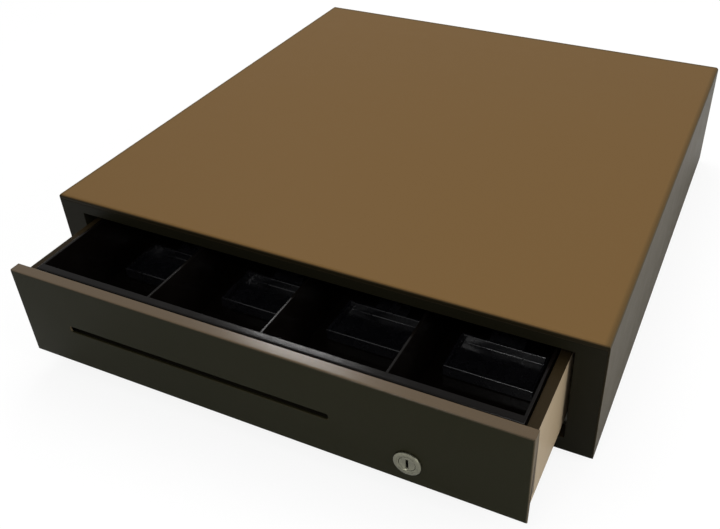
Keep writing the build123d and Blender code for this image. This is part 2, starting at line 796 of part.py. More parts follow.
def latch_pivot_pin():
    pin = rod_z(latch_x, latch_y, (shelf_top - 4, latch_high + 0.3), pivot_radius)
    pin += rod_z(latch_x, latch_y, (shelf_top, latch_low - 0.3), pivot_radius + 2)
    return pin + rod_z(latch_x, latch_y, (latch_high + 0.3, latch_high + 2), pivot_radius + 2)


def latch_return_spring():
    y = latch_y + latch_tail - 2
    left = latch_x - 30 + 1.5
    right = latch_x - latch_arm / 2
    inner = (left + 4, right - 4)
    turns = 16
    winding = coil((inner[1] - inner[0]) / turns, turns, 2.4, 0.6)
    winding = Pos(inner[0], y, latch_mid) * Rot(0, 90, 0) * winding
    hooks = []
    for x, end in ((inner[0], left + 0.2), (inner[1], right - 0.2)):
        upright = rod_z(x, y, (latch_mid - 2.4, latch_mid + 0.25), 0.25)
        hooks.append(upright + rod_x(sorted((x, end)), y, latch_mid, 0.25))
    return winding, hooks[0], hooks[1]


def solenoid_frame():
    left = solenoid_right - solenoid_length
    y = (link_y - solenoid_width / 2, link_y + solenoid_width / 2)
    frame = block((left, solenoid_right), y, (shelf_top, shelf_top + solenoid_sheet))
    top = latch_mid + coil_flange + 0.5
    for x in (left, solenoid_right - solenoid_sheet):
        frame += block((x, x + solenoid_sheet), y, (shelf_top, top))
    return frame - rod_x((left + 1, solenoid_right + 1), link_y, latch_mid, plunger_radius + 0.3)


def solenoid_coil():
    left = solenoid_right - solenoid_length + solenoid_sheet
    right = solenoid_right - solenoid_sheet
    coil_body = rod_x((left, right), link_y, latch_mid, coil_radius)
    coil_body += rod_x((left, left + 1.8), link_y, latch_mid, coil_flange)
    coil_body += rod_x((right - 1.8, right), link_y, latch_mid, coil_flange)
    return coil_body - rod_x((left - 1, right + 1), link_y, latch_mid, plunger_radius + plunger_clearance)


def solenoid_plunger():
    neck = latch_x - plunger_neck
    plunger = rod_x((solenoid_right - plunger_seat, neck), link_y, latch_mid, plunger_radius)
    low = (latch_mid - plunger_radius + fork_trim, latch_low - fork_gap)
    high = (latch_high + fork_gap, latch_mid + plunger_radius - fork_trim)
    for z in (low, high):
        plunger += block((neck, latch_x + fork_reach), (link_y - fork_half, link_y + fork_half), z)
    plunger += block((neck, neck + fork_root), (link_y - fork_half, link_y + fork_half), (low[0], high[1]))
    return plunger - rod_z(latch_x, link_y, (low[0] - 1, high[1] + 1), link_pin_radius + running_clearance)


def plunger_pin():
    half = plunger_radius - fork_trim
    return rod_z(latch_x, link_y, (latch_mid - half, latch_mid + half), link_pin_radius)


def ejector_guide():
    z = case_floor + ejector_height
    guide = rod_y(ejector_x, (rear_in - ejector_rod_length, rear_in), z, ejector_rod)
    guide = chamfer(guide.edges().sort_by(Axis.Y)[0], 1.0)
    return guide + rod_y(ejector_x, (rear_in - 2, rear_in), z, 2 * ejector_rod)


def ejector_spring():
    radius = ejector_rod + 0.4 + ejector_wire / 2
    pitch = (ejector_spring_length - ejector_wire) / ejector_turns
    winding = coil(pitch, ejector_turns, radius, ejector_wire)
    return Pos(ejector_x, rear_in - 2.4 - ejector_wire / 2, case_floor + ejector_height) * Rot(90, 0, 0) * winding


# Switch, socket and lead
def drawer_switch():
    x = (switch_x - half_switch, switch_x + half_switch)
    body = block(x, (switch_y, switch_y + switch_depth), (shelf_top, shelf_top + switch_height))
    body = fillet(body.edges().filter_by(Axis.Z), 0.8)
    pin_x = x[1] - 3
    for z in ((shelf_top, shelf_top + 1), (shelf_top + switch_height - 1, shelf_top + switch_height)):
        body += block((pin_x - 1.5, pin_x + 1.5), (switch_y - 3, switch_y), z)
    return body + rod_z(pin_x, switch_y - 2, (shelf_top, shelf_top + switch_height), 0.8)


def switch_lever():
    pin_x = switch_x + half_switch - 3
    z = (shelf_top + 1.3, shelf_top + switch_height - 1.3)
    pin_y = switch_y - 2
    blade = Rot(0, 0, switch_lever_angle) * block((-switch_lever_reach, 0), (-1.5, -0.9), z)
    lever = Pos(pin_x, pin_y, 0) * blade + rod_z(pin_x, pin_y, z, 1.6)
    return lever - rod_z(pin_x, pin_y, (z[0] - 1, z[1] + 1), 0.8 + running_clearance)


def interface_socket():
    x = (socket_x - socket_width / 2, socket_x + socket_width / 2)
    back = rear_out + 0.4
    z = (socket_bottom, socket_bottom + socket_tall)
    shell = block(x, (back - socket_deep, back), z)
    plug_z = (socket_bottom + 3.4, socket_bottom + 3.4 + plug_tall)
    shell -= block((socket_x - plug_width / 2, socket_x + plug_width / 2), (back - plug_deep, back + 1), plug_z)
    return shell - block((socket_x - 2, socket_x + 2), (back - plug_deep, back + 1), (z[0] + 1.4, z[0] + 4))


def socket_board():
    z = (socket_bottom - board_sheet, socket_bottom)
    board = block((socket_x - board_width / 2, socket_x + board_width / 2), (board_front, rear_in), z)
    for x, y in board_legs:
        board -= rod_z(x, y, (z[0] - 1, z[1] + 1), 1.6)
    return board


def board_standoffs():
    legs = []
    for x, y in board_legs:
        leg = rod_z(x, y, (base_top, socket_bottom - board_sheet), 3.0)
        legs.append(leg + rod_z(x, y, (socket_bottom - board_sheet, socket_bottom + 1), 1.5))
    return legs


def lead_route():
    """The middle of the lead from the board, behind the bracket, to the solenoid's winding."""
    behind = (shelf_back + rear_in) / 2
    coil_x = solenoid_right - solenoid_length / 2
    return [(socket_x - board_width / 2 + 14, rear_in - 14, socket_bottom + lead_radius + 0.1),
            (socket_x - board_width / 2 - 18, behind, socket_bottom + 3),
            (latch_x + 30, behind, latch_mid - 5),
            (latch_x - 30, behind, latch_mid + 4),
            (coil_x, link_y + lead_loop, latch_mid + 2),
            (coil_x, link_y + coil_radius + 0.3, latch_mid)]


def solenoid_lead():
    points = lead_route()
    route = FilletPolyline(*points, radius=6.0)
    section = Plane(origin=points[0], z_dir=route % 0) * Circle(lead_radius)
    lead = sweep(section, path=route)
    straight_volume = math.pi * lead_radius ** 2 * route.length
    print("lead length", round(route.length, 1), "volume share", round(lead.volume / straight_volume, 3))
    return lead


def main():
    os.makedirs("parts", exist_ok=True)
    save("top_cover", top_cover())
    save("front_frame", front_frame())
    save("base_plate", base_plate())
    save("rear_panel", rear_panel())
    save("rubber_feet", rubber_feet())
    save("base_screws", base_screws())
    save("rear_screws", rear_screws())
    sides = ("right", "left")
    for side, piece in zip(sides, right_and_left(runner())):
        save(f"runner_{side}", piece)
    for side, piece in zip(sides, right_and_left(front_roller_bracket())):
        save(f"front_roller_bracket_{side}", piece)
    for side, piece in zip(sides, right_and_left(front_roller())):
        save(f"front_roller_{side}", piece)
    for side, piece in zip(sides, right_and_left(rear_roller())):
        save(f"rear_roller_{side}", piece)
    save("runner_bumpers", runner_bumpers())
    save("front_roller_pins", right_and_left(front_roller_pin()))
    save("rear_roller_pins", right_and_left(rear_roller_pin()))
    save("front_panel", front_panel())
    save("panel_studs", panel_studs())
    save("panel_nuts", panel_nuts())
    save("drawer_box", drawer_box())
    save("till", till())
    save("coin_tray", coin_tray())
    save("strike_plate", strike_plate())
    save("strike_screws", strike_screws())
    save("bill_clip_pins", bill_clip_pins())
    for number, centre in enumerate(well_centres, 1):
        save(f"bill_clip_{number}", bill_clip(centre))
        winding, leg_back, leg_front = bill_clip_spring(centre)
        save(f"bill_clip_spring_{number}", winding + leg_back + leg_front)
    save("lock_body", lock_body())
    save("lock_nut", lock_nut())
    save("lock_core", lock_core())
    save("lock_cam", lock_cam())
    save("cam_screw", cam_screw())
    save("lock_keeper", lock_keeper())
    save("latch_bracket", latch_bracket())
    save("bracket_screws", bracket_screws())
    save("latch_lever", latch_lever())
    save("latch_pivot_pin", latch_pivot_pin())
    winding, hook_left, hook_right = latch_return_spring()
    save("latch_return_spring", winding + hook_left + hook_right)
    save("solenoid_frame", solenoid_frame())
    save("solenoid_coil", solenoid_coil())
    save("solenoid_plunger", solenoid_plunger())
    save("plunger_pin", plunger_pin())
    save("ejector_guide", ejector_guide())
    save("ejector_spring", ejector_spring())
    save("drawer_switch", drawer_switch())
    save("switch_lever", switch_lever())
    save("interface_socket", interface_socket())
    save("socket_board", socket_board())
    save("board_standoffs", board_standoffs())
    save("solenoid_lead", solenoid_lead())


main()
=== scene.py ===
import bmesh
import bpy
import json
import math
from mathutils import Matrix, Vector

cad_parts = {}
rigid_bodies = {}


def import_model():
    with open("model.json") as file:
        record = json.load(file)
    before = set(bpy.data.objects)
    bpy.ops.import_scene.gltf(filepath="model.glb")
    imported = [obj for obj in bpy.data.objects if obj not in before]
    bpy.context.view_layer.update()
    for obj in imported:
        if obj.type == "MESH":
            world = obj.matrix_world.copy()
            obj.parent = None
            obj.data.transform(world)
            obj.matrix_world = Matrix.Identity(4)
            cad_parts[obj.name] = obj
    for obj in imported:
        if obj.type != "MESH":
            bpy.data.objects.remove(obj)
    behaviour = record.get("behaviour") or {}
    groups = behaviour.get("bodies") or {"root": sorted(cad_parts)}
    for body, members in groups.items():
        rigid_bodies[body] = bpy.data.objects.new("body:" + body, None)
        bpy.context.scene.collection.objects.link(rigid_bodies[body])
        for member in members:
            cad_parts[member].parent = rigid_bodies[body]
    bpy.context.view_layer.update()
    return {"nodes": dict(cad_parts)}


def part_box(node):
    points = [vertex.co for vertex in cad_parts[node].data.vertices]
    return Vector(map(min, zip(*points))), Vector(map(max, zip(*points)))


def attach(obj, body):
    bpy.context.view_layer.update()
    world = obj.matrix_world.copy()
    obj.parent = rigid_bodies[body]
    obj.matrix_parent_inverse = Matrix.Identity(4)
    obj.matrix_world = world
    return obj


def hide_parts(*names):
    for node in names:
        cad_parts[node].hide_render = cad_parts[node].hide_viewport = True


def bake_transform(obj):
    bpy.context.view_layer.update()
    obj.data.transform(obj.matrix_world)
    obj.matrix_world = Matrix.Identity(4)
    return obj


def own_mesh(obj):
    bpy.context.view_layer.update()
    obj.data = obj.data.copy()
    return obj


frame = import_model()
print("frame loaded:", len(frame["nodes"]), "nodes")

mm = 0.001
weld = 0.002 * mm  # vertices of a CAD mesh nearer than this are one
axisWeld = 0.001 * mm  # the same for a turned shape's vertices on its axis
flatUnder = math.radians(0.4)  # faces turned less than this from each other are one flat face
# faces that meet under these angles, in degrees, are shaded as one smooth surface
smoothUnder = {"sheet": 32.0, "spring": 40, "turned": 34, "lock": 30, "foot": 40, "wire": 50}
scene = bpy.context.scene


# camera: yaw, pitch and roll in radians, shifts as shares of the sensor's width
cameraSetup = {"place": (0.25388, -0.53822, 0.43068), "yaw": -0.42387, "pitch": 0.6222, "roll": -0.00873,
               "lens": 42.209, "sensor": 36.0, "shiftX": -0.08824, "shiftY": -0.03375}
# lights: metres, degrees and watts; "mirrored" is whether shiny surfaces show the light
softboxes = {
    "overhead": {"place": (-0.25, 0.35, 1.25), "aim": (0.0, 0.05, 0.05), "size": (0.9, 0.9), "power": 9.0,
                 "mirrored": False},
    "rightFill": {"place": (1.35, -0.15, 0.65), "aim": (0.1, 0.0, 0.05), "size": (0.9, 0.7), "power": 10.0},
    "clipStrip": {"place": (0.16, -0.62, 0.58), "aim": (0.0, -0.15, 0.05), "size": (0.3, 0.06), "power": 1.1},
    "rimStrip": {"place": (-0.525, 0.525, 0.95), "turn": (-41.0, 0.0, 0.0), "size": (0.2, 0.03),
                 "power": 1.0},
}
studio = {"worldLevel": 0.55, "floorColour": (0.93, 0.93, 0.93, 1), "floorHalf": 4.0,
          "glowShare": 0.87, "nearRadius": 0.55, "farRadius": 1.1}


def makeCamera(setup):
    sy, cy = math.sin(setup["yaw"]), math.cos(setup["yaw"])
    sp, cp = math.sin(setup["pitch"]), math.cos(setup["pitch"])
    forward = Vector((sy * cp, cy * cp, -sp))
    right = Vector((cy, -sy, 0))
    up = right.cross(forward)
    sr, cr = math.sin(setup["roll"]), math.cos(setup["roll"])
    right, up = right * cr + up * sr, up * cr - right * sr
    data = bpy.data.cameras.new("camera")
    data.sensor_fit = "HORIZONTAL"
    data.sensor_width = setup["sensor"]
    data.lens = setup["lens"]
    data.shift_x = setup["shiftX"]
    data.shift_y = setup["shiftY"]
    data.clip_start = 0.01
    camera = bpy.data.objects.new("camera", data)
    turn = Matrix((right, up, -forward)).transposed()
    camera.matrix_world = Matrix.Translation(setup["place"]) @ turn.to_4x4()
    scene.collection.objects.link(camera)
    scene.camera = camera


def makeSoftbox(name, setup):
    data = bpy.data.lights.new(name, "AREA")
    data.shape = "RECTANGLE"
    data.size, data.size_y = setup["size"]
    data.energy = setup["power"]
    lamp = bpy.data.objects.new(name, data)
    lamp.visible_glossy = setup.get("mirrored", True)
    place = Vector(setup["place"])
    lamp.location = place
    if "turn" in setup:
        lamp.rotation_euler = [math.radians(angle) for angle in setup["turn"]]
    else:
        lamp.rotation_euler = (Vector(setup["aim"]) - place).to_track_quat("-Z", "Y").to_euler()
    scene.collection.objects.link(lamp)


def makeStudio(setup):
    world = bpy.data.worlds.new("world")
    world.use_nodes = True
    scene.world = world
    tree = world.node_tree
    background = tree.nodes["Background"]
    rays = tree.nodes.new("ShaderNodeLightPath")
    level = tree.nodes.new("ShaderNodeMapRange")
    level.inputs["To Min"].default_value = setup["worldLevel"]
    level.inputs["To Max"].default_value = 1.0
    tree.links.new(rays.outputs["Is Camera Ray"], level.inputs["Value"])
    tree.links.new(level.outputs["Result"], background.inputs["Strength"])
    background.inputs["Color"].default_value = (1, 1, 1, 1)

    half = setup["floorHalf"]
    mesh = bpy.data.meshes.new("floor")
    corners = [(-half, -half, 0), (half, -half, 0), (half, half, 0), (-half, half, 0)]
    mesh.from_pydata(corners, [], [(0, 1, 2, 3)])
    floor = bpy.data.objects.new("floor", mesh)
    scene.collection.objects.link(floor)
    paper = bpy.data.materials.new("studioPaper")
    paper.use_nodes = True
    nodes, links = paper.node_tree.nodes, paper.node_tree.links
    nodes.clear()
    output = nodes.new("ShaderNodeOutputMaterial")
    matt = nodes.new("ShaderNodeBsdfDiffuse")
    matt.inputs["Color"].default_value = setup["floorColour"]
    glow = nodes.new("ShaderNodeEmission")
    glow.inputs["Color"].default_value = (1, 1, 1, 1)
    share = nodes.new("ShaderNodeMath")
    share.operation = "MULTIPLY"
    place = nodes.new("ShaderNodeTexCoord")
    reach = nodes.new("ShaderNodeVectorMath")
    reach.operation = "LENGTH"
    links.new(place.outputs["Object"], reach.inputs[0])
    fade = nodes.new("ShaderNodeMapRange")
    for socket, number in (("From Min", setup["nearRadius"]), ("From Max", setup["farRadius"]),
                           ("To Min", setup["glowShare"]), ("To Max", 1.0)):
        fade.inputs[socket].default_value = number
    links.new(reach.outputs["Value"], fade.inputs["Value"])
    links.new(fade.outputs["Result"], share.inputs[1])
    rays = nodes.new("ShaderNodeLightPath")
    mix = nodes.new("ShaderNodeMixShader")
    links.new(rays.outputs["Is Camera Ray"], share.inputs[0])
    links.new(share.outputs[0], mix.inputs["Fac"])
    links.new(matt.outputs[0], mix.inputs[1])
    links.new(glow.outputs[0], mix.inputs[2])
    links.new(mix.outputs[0], output.inputs["Surface"])
    mesh.materials.append(paper)


scene.view_settings.view_transform = "Standard"
makeCamera(cameraSetup)
for boxName, boxSetup in softboxes.items():
    makeSoftbox(boxName, boxSetup)
makeStudio(studio)
print("camera, light and floor made")


# materials
middleNoise = (0.3, 0.7)  # nearly all that a noise gives lies between these
# turnedTo sets how the painted lit and shaded tones of the coats blend as a surface turns
turnedTo = (0.35, 0.8)  # a normal's part along an axis, from none to all of that side's tone


def srgb(*colour):
    return tuple(((c / 255 + 0.055) / 1.055) ** 2.4 if c > 10 else c / 255 / 12.92 for c in colour) + (1,)


class Shader:
    def __init__(self, name):
        self.material = bpy.data.materials.new(name)
        self.material.use_nodes = True
        self.nodes = self.material.node_tree.nodes
        self.links = self.material.node_tree.links
        self.surface = self.nodes["Principled BSDF"]
        self.place = self.nodes.new("ShaderNodeTexCoord")

    def set(self, **values):
        for socket, value in values.items():
            self.surface.inputs[socket.replace("_", " ")].default_value = value

    def noise(self, scale, detail=3.0):
        node = self.nodes.new("ShaderNodeTexNoise")
        node.inputs["Scale"].default_value = scale
        node.inputs["Detail"].default_value = detail
        self.links.new(self.place.outputs["Object"], node.inputs["Vector"])
        return node.outputs["Fac"]

    def mapped(self, value, fromLow, fromHigh, toLow, toHigh):
        node = self.nodes.new("ShaderNodeMapRange")
        ends = {"From Min": fromLow, "From Max": fromHigh, "To Min": toLow, "To Max": toHigh}
        for socket, number in ends.items():
            node.inputs[socket].default_value = number
        self.links.new(value, node.inputs["Value"])
        return node.outputs["Result"]

    def mixed(self, share, first, second):
        node = self.nodes.new("ShaderNodeMix")
        node.data_type = "RGBA"
        self.links.new(share, node.inputs["Factor"])
        for socket, colour in (("A", first), ("B", second)):
            target = [s for s in node.inputs if s.name == socket and s.type == "RGBA"][0]
            if isinstance(colour, bpy.types.NodeSocket):
                self.links.new(colour, target)
            else:
                target.default_value = colour
        return [s for s in node.outputs if s.type == "RGBA"][0]

    def combine(self, operation, *values):
        node = self.nodes.new("ShaderNodeMath")
        node.operation = operation
        for socket, value in zip(node.inputs, values):
            if isinstance(value, bpy.types.NodeSocket):
                self.links.new(value, socket)
            else:
                socket.default_value = value
        return node.outputs[0]

    def split(self, source, axis):
        node = self.nodes.new("ShaderNodeSeparateXYZ")
        self.links.new(self.place.outputs[source], node.inputs[0])
        return node.outputs[axis]

    def spot(self, axis):
        return self.split("Object", axis)

    def facing(self, axis):
        return self.split("Normal", axis)

    def join(self, value, socket):
        self.links.new(value, self.surface.inputs[socket])

    def bump(self, height, strength, distance):
        node = self.nodes.new("ShaderNodeBump")
        node.inputs["Strength"].default_value = strength
        node.inputs["Distance"].default_value = distance
        self.links.new(height, node.inputs["Height"])
        self.links.new(node.outputs["Normal"], self.surface.inputs["Normal"])


# one dark bronze paint with light and shade painted into it: each surface takes a lit or a shaded tone by
# which way it faces
# "above": only faces higher than this take the top tone, the painted light of the panel's top rim; "bend":
# painted shade of the folds along the top's side edges and its back edge,
# "bendAt": half the width, the back and the width of the band, in metres
paintedLightTones = {
    "cover": {"top": srgb(102, 78, 46), "side": srgb(56, 49, 33), "front": srgb(26, 22, 11), "shine": 0.05,
              "bend": srgb(52, 44, 27), "bendAt": (0.205, 0.24425, 0.0045)},
    # the front panel's pale top rim is painted light and reflection over its dark face
    "front": {"top": srgb(76, 62, 44), "side": srgb(84, 74, 58), "front": srgb(27, 27, 14), "shine": 0.04,
              "above": 0.0835, "rimShine": 0.45},
    "frame": {"top": srgb(34, 28, 18), "side": srgb(16, 15, 10), "front": srgb(20, 19, 11), "shine": 0.04},
    # the drawer box's bright beige side is painted light and reflection from the right and the floor; its
    # dark top is painted shade
    "box": {"top": srgb(34, 26, 13), "side": srgb(146, 130, 106), "front": srgb(36, 33, 25), "shine": 0.08},
    "dark": {"top": srgb(60, 50, 34), "side": srgb(44, 40, 31), "front": srgb(34, 32, 22), "shine": 0.08},
}
# the coat's fine grain, the same on every piece, and how dark the painted fold shade gets ("bendShare")
paintGrain = {"roughness": 0.46, "roughnessScale": 60.0, "rimPolish": 0.24, "bendShare": 0.75,
              "aboveBlend": 0.0015,
              "cloudScale": 5.0, "cloudShare": 0.02, "cloudColour": srgb(96, 88, 68),
              "fleckScale": 2600.0, "fleckShare": 0.03, "fleckColour": srgb(190, 170, 130),
              "peelScale": 1400.0, "peelStrength": 0.06, "peelDepth": 0.0002}


def powderCoat(name, tones, grain=paintGrain):
    shader = Shader(name)
    # painted light and shade: up-facing and sideways faces take the lighter top and side tones, front-facing
    # ones the dark front tone
    up = shader.mapped(shader.facing("Z"), *turnedTo, 0, 1)
    side = shader.mapped(shader.combine("ABSOLUTE", shader.facing("X")), *turnedTo, 0, 1)
    # painted light: on the front panel only the top rim above this height takes the lit top tone
    if "above" in tones:
        band = shader.mapped(shader.spot("Z"), tones["above"], tones["above"] + grain["aboveBlend"], 0, 1)
        up = shader.combine("MULTIPLY", up, band)
    colour = shader.mixed(side, tones["front"], tones["side"])
    top = tones["top"]
    # painted shade: the top tone darkens towards the top's side folds and its back edge
    if "bend" in tones:
        halfWidth, back, reach = tones["bendAt"]
        fromSide = shader.combine("SUBTRACT", halfWidth, shader.combine("ABSOLUTE", shader.spot("X")))
        fromBack = shader.combine("SUBTRACT", back, shader.spot("Y"))
        foldShadeMask = shader.mapped(shader.combine("MINIMUM", fromSide, fromBack), 0, reach, grain["bendShare"], 0)
        top = shader.mixed(foldShadeMask, top, tones["bend"])
    colour = shader.mixed(up, colour, top)
    cloud = shader.mapped(shader.noise(grain["cloudScale"], 1.0), *middleNoise, 0, grain["cloudShare"])
    colour = shader.mixed(cloud, colour, grain["cloudColour"])
    fleck = shader.mapped(shader.noise(grain["fleckScale"], 1.0), 0.62, 0.72, 0, grain["fleckShare"])
    colour = shader.mixed(fleck, colour, grain["fleckColour"])
    shader.join(colour, "Base Color")
    base = grain["roughness"]
    rough = shader.mapped(shader.noise(grain["roughnessScale"]), *middleNoise, base - 0.01, base + 0.02)
    shader.set(Metallic=0.0, Specular_IOR_Level=tones["shine"])
    if "rimShine" in tones:
        rough = shader.combine("SUBTRACT", rough, shader.mapped(up, 0, 1, 0, grain["rimPolish"]))
        shader.join(shader.mapped(up, 0, 1, tones["shine"], tones["rimShine"]), "Specular IOR Level")
    shader.join(rough, "Roughness")
    shader.bump(shader.noise(grain["peelScale"], 2.0), grain["peelStrength"], grain["peelDepth"])
    return shader.material


def mouldedPlastic(name, colour, roughness, shine=0.5, grain=900.0, grainDepth=0.05):
    shader = Shader(name)
    worn = shader.mapped(shader.noise(30.0, 4.0), 0.45, 0.75, 0, 0.35)
    paler = tuple(min(1, c * 1.6 + 0.004) for c in colour[:3]) + (1,)
    shader.join(shader.mixed(worn, colour, paler), "Base Color")
    rough = shader.mapped(shader.noise(120.0), *middleNoise, roughness * 0.8, roughness * 1.25)
    shader.join(rough, "Roughness")
    shader.set(Specular_IOR_Level=shine)
    shader.bump(shader.noise(grain, 2.0), grainDepth, 0.0002)
    return shader.material


def platedSteel(name, colour, roughness):
    shader = Shader(name)
    streak = shader.noise(400.0)
    darker = tuple(c * 0.72 for c in colour[:3]) + (1,)
    shader.join(shader.mixed(shader.mapped(streak, 0.35, 0.7, 0, 0.6), colour, darker), "Base Color")
    rough = shader.mapped(shader.noise(70.0), *middleNoise, roughness * 0.75, roughness * 1.3)
    shader.join(rough, "Roughness")
    shader.set(Metallic=1.0)
    shader.bump(streak, 0.06, 0.0002)
    return shader.material


def softRubber(name):
    shader = Shader(name)
    dust = shader.mapped(shader.noise(90.0, 4.0), 0.5, 0.8, 0, 0.4)
    shader.join(shader.mixed(dust, srgb(20, 20, 20), srgb(60, 58, 55)), "Base Color")
    shader.join(shader.mapped(shader.noise(200.0), *middleNoise, 0.7, 0.9), "Roughness")
    shader.bump(shader.noise(1200.0, 2.0), 0.2, 0.0003)
    return shader.material


coats = {tone: powderCoat("powderCoat_" + tone, tones) for tone, tones in paintedLightTones.items()}
tillPlastic = mouldedPlastic("tillPlastic", srgb(7, 5, 4), 0.18, 0.16, 300.0, 0.02)
clipPlastic = mouldedPlastic("clipPlastic", srgb(13, 13, 16), 0.26, 0.9, 300.0, 0.01)
switchPlastic = mouldedPlastic("switchPlastic", srgb(26, 26, 27), 0.45)
nylon = mouldedPlastic("nylon", srgb(222, 218, 205), 0.4, 0.4)
windingTape = mouldedPlastic("windingTape", srgb(196, 150, 52), 0.4, 0.4, 500.0, 0.2)
boardGreen = mouldedPlastic("boardGreen", srgb(28, 92, 52), 0.3, 0.5)
leadSleeve = mouldedPlastic("leadSleeve", srgb(120, 22, 18), 0.45)
zincPlate = platedSteel("zincPlate", srgb(176, 174, 164), 0.38)
brightSteel = platedSteel("brightSteel", srgb(196, 196, 194), 0.26)
springWire = platedSteel("springWire", srgb(140, 140, 142), 0.3)
nickel = platedSteel("nickel", srgb(122, 121, 106), 0.3)
rubber = softRubber("footRubber")
copperWire = platedSteel("copperWire", srgb(176, 104, 62), 0.3)
goldPlate = platedSteel("goldPlate", srgb(212, 172, 96), 0.25)
nodeFinish = {
    coats["cover"]: ["top_cover"],
    coats["front"]: ["front_panel"],
    coats["frame"]: ["front_frame"],
    coats["box"]: ["drawer_box"],
    coats["dark"]: ["base_plate", "rear_panel"],
    zincPlate: ["runner_right", "runner_left", "front_roller_bracket_right", "front_roller_bracket_left",
                "latch_bracket", "solenoid_frame", "lock_keeper", "strike_plate", "latch_lever",
                "ejector_guide", "board_standoffs"],
    brightSteel: ["base_screws", "rear_screws", "bracket_screws", "strike_screws", "panel_studs",
                  "panel_nuts", "front_roller_pins", "rear_roller_pins", "bill_clip_pins",
                  "latch_pivot_pin", "plunger_pin", "solenoid_plunger", "cam_screw", "switch_lever"],
    springWire: ["ejector_spring", "latch_return_spring"] + [f"bill_clip_spring_{i}" for i in range(1, 5)],
    nickel: ["lock_body", "lock_core", "lock_cam", "lock_nut"],
    tillPlastic: ["till", "coin_tray"],
    clipPlastic: [f"bill_clip_{i}" for i in range(1, 5)],
    nylon: ["front_roller_right", "front_roller_left", "rear_roller_right", "rear_roller_left"],
    rubber: ["rubber_feet", "runner_bumpers"],
    windingTape: ["solenoid_coil"],
    switchPlastic: ["drawer_switch", "interface_socket"],
    boardGreen: ["socket_board"],
    leadSleeve: ["solenoid_lead"],
}
finishOf = {}
for finish, members in nodeFinish.items():
    for member in members:
        finishOf[member] = finish
        mesh = frame["nodes"][member].data
        mesh.materials.clear()
        mesh.materials.append(finish)
print("materials made and given to the nodes")


# helpers for the pieces
def bodyOf(node):
    return frame["nodes"][node].parent.name.split(":", 1)[1]


def newObject(name, mesh, finish, body, stands=()):
    piece = bpy.data.objects.new(name, mesh)
    scene.collection.objects.link(piece)
    mesh.materials.clear()
    mesh.materials.append(finish)
    if stands:
        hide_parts(*stands)
    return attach(piece, body) if body else piece


def meshFrom(name, shape, smoothAngle=None):
    bmesh.ops.recalc_face_normals(shape, faces=shape.faces)
    mesh = bpy.data.meshes.new(name)
    shape.to_mesh(mesh)
    shape.free()
    if smoothAngle:
        mesh.shade_smooth()
        mesh.set_sharp_from_angle(angle=math.radians(smoothAngle))
    return mesh


# the evaluated result of a mesh with its modifiers, as a plain mesh
def settled(name, mesh, *changes):
    carrier = bpy.data.objects.new(name + "Carrier", mesh)
    scene.collection.objects.link(carrier)
    for change in changes:
        change(carrier)
    bpy.context.view_layer.update()
    evaluated = carrier.evaluated_get(bpy.context.evaluated_depsgraph_get())
    result = bpy.data.meshes.new_from_object(evaluated)
    result.name = name
    bpy.data.objects.remove(carrier)
    return result


def roundEdges(width, segments=2, angle=smoothUnder["sheet"]):
    def change(carrier):
        bevel = carrier.modifiers.new("round", "BEVEL")
        bevel.width = width * mm
        bevel.segments = segments
        bevel.limit_method = "ANGLE"
        bevel.angle_limit = math.radians(angle)
        bevel.use_clamp_overlap = False
        bevel.harden_normals = True
    return change


def cutBy(cutter):
    def change(carrier):
        cut = carrier.modifiers.new("cut", "BOOLEAN")
        cut.operation = "DIFFERENCE"
        cut.solver = "EXACT"
        cut.object = cutter
    return change


# a mesh with other meshes cut out of it, one after another
def carved(name, mesh, cutMeshes, *changes):
    cutters = []
    for cutMesh in cutMeshes:
        cutters.append(bpy.data.objects.new(cutMesh.name, cutMesh))
        scene.collection.objects.link(cutters[-1])
    result = settled(name, mesh, *[cutBy(cutter) for cutter in cutters], *changes)
    for cutter in cutters:
        bpy.data.objects.remove(cutter)
    return result


# the CAD shape with its flat faces joined and its edges broken
def softened(node, width, segments=2):
    shape = bmesh.new()
    shape.from_mesh(frame["nodes"][node].data)
    bmesh.ops.remove_doubles(shape, verts=shape.verts, dist=weld)
    bmesh.ops.dissolve_limit(shape, angle_limit=flatUnder, verts=shape.verts, edges=shape.edges)
    mesh = settled(node + "_made", meshFrom(node, shape, smoothUnder["sheet"]), roundEdges(width, segments))
    return newObject(node + "_made", mesh, finishOf[node], bodyOf(node), [node])


# a turned shape: (radius, distance along the axis) pairs going round a closed outline
def turned(profile, segments=64, closed=True):
    shape = bmesh.new()
    rings = []
    for i in range(segments):
        angle = 2 * math.pi * i / segments
        across, along = mm * math.cos(angle), mm * math.sin(angle)
        rings.append([shape.verts.new((r * across, r * along, d * mm)) for r, d in profile])
    count = len(profile)
    for i in range(segments):
        here, there = rings[i], rings[(i + 1) % segments]
        for j in range(count if closed else count - 1):
            k = (j + 1) % count
            if profile[j][0] == 0 and profile[k][0] == 0:
                continue
            shape.faces.new((here[j], there[j], there[k], here[k]))
    bmesh.ops.remove_doubles(shape, verts=shape.verts, dist=axisWeld)
    return shape


def addBlock(shape, x, y, z):
    corners = [shape.verts.new((a * mm, b * mm, c * mm)) for c in z for b in y for a in x]
    for face in ((0, 2, 3, 1), (4, 5, 7, 6), (0, 1, 5, 4), (2, 6, 7, 3), (0, 4, 6, 2), (1, 3, 7, 5)):
        shape.faces.new([corners[i] for i in face])


def blockMesh(name, *blocks):
    shape = bmesh.new()
    for block in blocks:
        addBlock(shape, *block)
    return meshFrom(name, shape)


